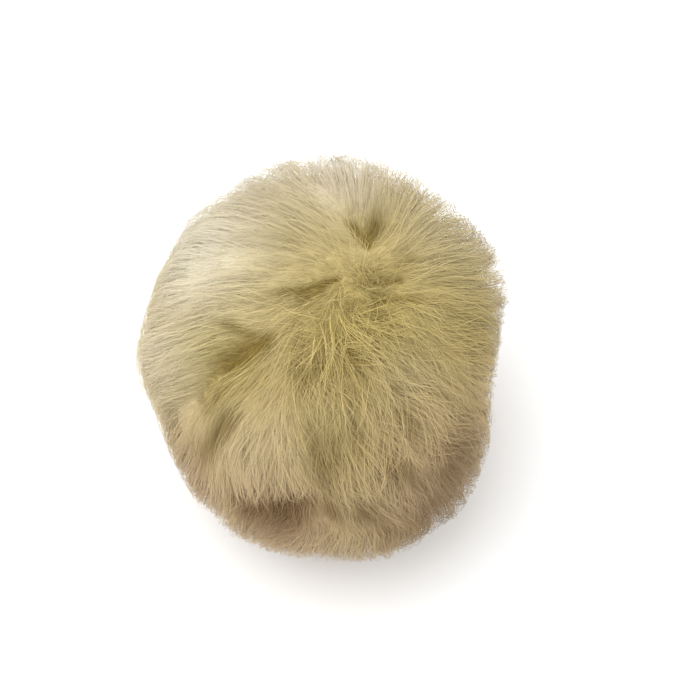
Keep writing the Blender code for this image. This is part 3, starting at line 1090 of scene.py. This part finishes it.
# %% The numbers of each coat
COAT = {
    "Points along a hair": 6,
    "Thickness": 0.07 * MM,
    "Length": 16 * MM,
    "Lock spacing": 10 * MM,
    "Tuft spacing": 2.6 * MM,
    "Lock pull": 0.4,
    "Tuft pull": 0.4,
    "Lock turn": 0.6,
    "Tuft turn": 1.3,
    "Stray": 0.6,
    "Swirl": 1.5,
    "Wave": 2.6 * MM,
    "Frizz": 1.8 * MM,
    "Lowest layer": 0.6,
}
UNDERFUR = {**COAT, "Points along a hair": 4, "Thickness": 0.105 * MM, "Length": 13 * MM}
UNDERFUR.update({"Lock pull": 0.1, "Tuft pull": 0.1, "Lock turn": 0.3, "Tuft turn": 0.5})
UNDERFUR.update({"Stray": 1.6, "Lowest layer": 0.15})
GUARD_HAIRS = {**COAT, "Thickness": 0.06 * MM, "Length": 18 * MM, "Tuft pull": 0.15}
GUARD_HAIRS.update({"Stray": 1.2, "Lowest layer": 0.9})
Coat = namedtuple("Coat", "name hairs numbers")
COATS = (
    Coat("underfur_1", 8600, UNDERFUR),
    Coat("coat_1", 6700, {**COAT, "Points along a hair": 5, "Lowest layer": 0.3}),
    Coat("coat_2", 6700, {**COAT, "Points along a hair": 5}),
    Coat("coat_3", 5600, COAT),
    Coat("guard_hairs", 5400, GUARD_HAIRS),
)
FIRST_SEED = 100
print(f"{len(COATS)} coats")


# %% Growing a coat
def skin_area(skin):
    """The area of the skin that hair grows on."""
    return sum(face.area for face in skin.data.polygons if face.center.z > FLAT_SPOT)


HAIRY_AREA = skin_area(undercoat)
print(f"hairy skin: {HAIRY_AREA / MM**2 / 100:.0f} square centimetres")


def grow_coat(skin, coat, seed):
    """Runs the tree on a copy of the skin and keeps the result as a plain mesh."""
    base = bpy.data.objects.new(coat.name + "_base", skin.data.copy())
    bpy.context.scene.collection.objects.link(base)
    modifier = base.modifiers.new("grow", "NODES")
    modifier.node_group = GROW_FUR.tree
    values = {**coat.numbers, "Hairs per square metre": coat.hairs / HAIRY_AREA, "Seed": seed, "Fur": HAIR}
    for item in GROW_FUR.tree.interface.items_tree:
        if item.name in values and item.in_out == "INPUT":
            modifier[item.identifier] = values[item.name]
    graph = bpy.context.evaluated_depsgraph_get()
    mesh = bpy.data.meshes.new_from_object(base.evaluated_get(graph), depsgraph=graph)
    piece = bpy.data.objects.new(coat.name, mesh)
    bpy.context.scene.collection.objects.link(piece)
    bpy.data.objects.remove(base)
    return piece


# %% [markdown]
# ## Softer shading, and room for colours
#
# Each tube shades from bright to dark across its width, so tens of thousands of them would glitter.
# On the real ball, smooth hair catches the light as one sheet. Blurring the picture would soften its
# edge as well, so the normals, which tell the light how a surface is turned, are leaned outwards from
# the ball: far where the coat is smooth, and a little where it is ruffled.
#
# Another program can't work out the colours as Blender does, so for it they must be painted on a
# picture. For that each coat has a map that gives each hair a cell of its own, with its sides next to
# one another. Notes that only the tree needed are taken off.

# %% Softer shading
CALM_LEAN = 0.6
RUFFLED_LEAN = 0.2
KEPT_NOTES = ("along", "hair_chance", "lock_chance", "tuft_chance", "shade", "olive", "cream_and_highlight", "blush")


def soften_normals(mesh):
    """Leans the normals of calm hair outwards, so that it shades as one soft surface."""
    places, own = np.empty(3 * len(mesh.vertices)), np.empty(3 * len(mesh.vertices))
    mesh.vertices.foreach_get("co", places)
    mesh.vertex_normals.foreach_get("vector", own)
    outwards = unit(places.reshape(-1, 3) - MIDDLE)
    ruffled = np.empty(len(mesh.vertices))
    mesh.attributes["ruffle"].data.foreach_get("value", ruffled)
    lean = (CALM_LEAN + (RUFFLED_LEAN - CALM_LEAN) * np.clip(ruffled, 0, 1))[:, None]
    leant = unit(own.reshape(-1, 3) * (1 - lean) + outwards * lean)
    mesh.normals_split_custom_set_from_vertices(leant.tolist())


def tidy_notes(mesh):
    """Takes off the notes that only the tree needed."""
    for name in [a.name for a in mesh.attributes if a.domain == "POINT" and a.name not in KEPT_NOTES]:
        if not name.startswith(".") and name != "position":
            mesh.attributes.remove(mesh.attributes[name])


# %% A cell of the map for each hair
MAP_NAME = "OFBake"
CAP_SHARE = 0.1  # how far past the tube's ends the middle corner of each cap lies on the map
CELL_START, CELL_SIZE = (0.06, 0.12), (0.88, 0.76)  # the part of its cell that a hair fills


def lay_out_map(mesh, stations):
    """A map of the coat on which each hair has a cell of its own, with its three sides next to each other."""
    corners = np.empty(len(mesh.loops), np.int32)
    mesh.loops.foreach_get("vertex_index", corners)
    sizes = np.empty(len(mesh.polygons), np.int32)
    mesh.polygons.foreach_get("loop_total", sizes)
    face = np.repeat(np.arange(len(sizes)), sizes)
    hair, within = np.divmod(corners, SIDES * stations)
    station, side = np.divmod(within, SIDES)
    # On the side that closes the tube, its first edge is drawn as a fourth
    has_side = np.zeros((SIDES, len(sizes)), bool)
    has_side[side, face] = True
    closes = has_side[2] & has_side[0] & ~has_side[1]
    across = np.where((side == 0) & closes[face], SIDES, side)
    cap = (sizes == SIDES)[face] & (side == 1)
    up = np.where(cap, np.where(station == 0, -CAP_SHARE, 1 + CAP_SHARE), station / (stations - 1))
    columns = math.ceil(math.sqrt(len(mesh.vertices) / (SIDES * stations)))
    row, column = np.divmod(hair, columns)
    right = column + CELL_START[0] + CELL_SIZE[0] * across / SIDES
    places = np.stack([right, row + CELL_START[1] + CELL_SIZE[1] * up], 1) / columns
    layer = mesh.uv_layers.new(name=MAP_NAME)
    layer.uv.foreach_set("vector", places.astype(np.float32).ravel())


# %% Grow the coats
coats = []
for coat in COATS:
    piece = grow_coat(undercoat, coat, FIRST_SEED + len(coats))
    soften_normals(piece.data)
    tidy_notes(piece.data)
    lay_out_map(piece.data, coat.numbers["Points along a hair"])
    coats.append(piece)
total = 0
for piece in coats:
    piece.data.calc_loop_triangles()
    total += len(piece.data.loop_triangles)
    print(piece.name, len(piece.data.loop_triangles), "triangles")
print("all coats:", total, "triangles")

# %% [markdown]
# ## Handing the pieces over
#
# The ball has no moving parts, so its whole coat belongs to one body, and all of it is fur. The
# undercoat has the solid's own form, so it takes the solid's place. The coats could be joined to it,
# but as pieces of their own they stay light enough to handle.

# %% Hand the pieces over
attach(undercoat, "root")
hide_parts("fur_ball")
for piece in coats:
    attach(piece, "root")
print("pieces:", ", ".join(piece.name for piece in [undercoat, *coats]))

# %% [markdown]
# ## Table, light and camera
#
# The ball lies on a plain white table in a bright, soft studio. A single lamp would cast hard shadows
# between the hairs. So the white room gives much of the light, and two very broad lamps do the rest:
# one high at the back left, which makes the fur pale there and lets it fall off towards the front
# right, and a weaker one at the front left that opens the shadows. The camera stands in front and looks
# steeply down, from far enough away that the ball keeps its proportions.

# %% The table
TABLE_LOOK = {"Base Color": (0.9, 0.9, 0.9, 1), "Roughness": 0.9}
TABLE_SIZE = 6  # metres


def make_floor():
    """A pale table, which isn't a piece of the object."""
    bpy.ops.mesh.primitive_plane_add(size=TABLE_SIZE)
    floor = bpy.context.object
    floor.name = "table"
    floor.data.materials.append(new_material("table_white", TABLE_LOOK)[0])


make_floor()
print(f"table: {TABLE_SIZE} m wide")

# %% The light
LIGHT_BREADTH = 90  # degrees of sky that a lamp fills


def aim(obj, target):
    """Turns a light or camera to look at a place."""
    way = Vector(target) - obj.location
    obj.rotation_euler = way.to_track_quat("-Z", "Y").to_euler()


def soft_light(name, azimuth, elevation, strength):
    """A broad, even light from far away, as from a bank of soft boxes."""
    data = bpy.data.lights.new(name, "SUN")
    data.angle = math.radians(LIGHT_BREADTH)
    data.energy = strength
    light = bpy.data.objects.new(name, data)
    bpy.context.scene.collection.objects.link(light)
    light.location = MIDDLE + heading(azimuth, elevation)
    aim(light, MIDDLE)
    print(f"{name}: azimuth {azimuth}, elevation {elevation}, strength {strength}")


soft_light("key", azimuth=155, elevation=50, strength=1.65)
soft_light("fill", azimuth=-130, elevation=55, strength=0.85)

room = bpy.data.worlds.new("studio")
bpy.context.scene.world = room
room.use_nodes = True
room.node_tree.nodes["Background"].inputs["Color"].default_value = (1, 1, 1, 1)
room.node_tree.nodes["Background"].inputs["Strength"].default_value = 1.0
bpy.context.scene.view_settings.view_transform = "Standard"

# %% The camera
VIEW_ELEVATION = 60
VIEW_DISTANCE = 0.6
IMAGE_PIXELS = 700  # the picture's width and height
SEEN_WIDTH = 201 * MM  # what the picture's width spans at the ball's middle
BALL_PIXEL = (321, 361)  # where the ball's middle lies in the picture
SENSOR_WIDTH = 36

lens = bpy.data.cameras.new("camera")
camera = bpy.data.objects.new("camera", lens)
bpy.context.scene.collection.objects.link(camera)
camera.location = MIDDLE + heading(-90, VIEW_ELEVATION) * VIEW_DISTANCE
aim(camera, MIDDLE)
lens.sensor_width = SENSOR_WIDTH
lens.lens = lens.sensor_width * VIEW_DISTANCE / SEEN_WIDTH
lens.shift_x = (IMAGE_PIXELS / 2 - BALL_PIXEL[0]) / IMAGE_PIXELS
lens.shift_y = (BALL_PIXEL[1] - IMAGE_PIXELS / 2) / IMAGE_PIXELS
bpy.context.scene.camera = camera
print(f"camera: {lens.lens:.0f} mm lens, {VIEW_DISTANCE} m away")
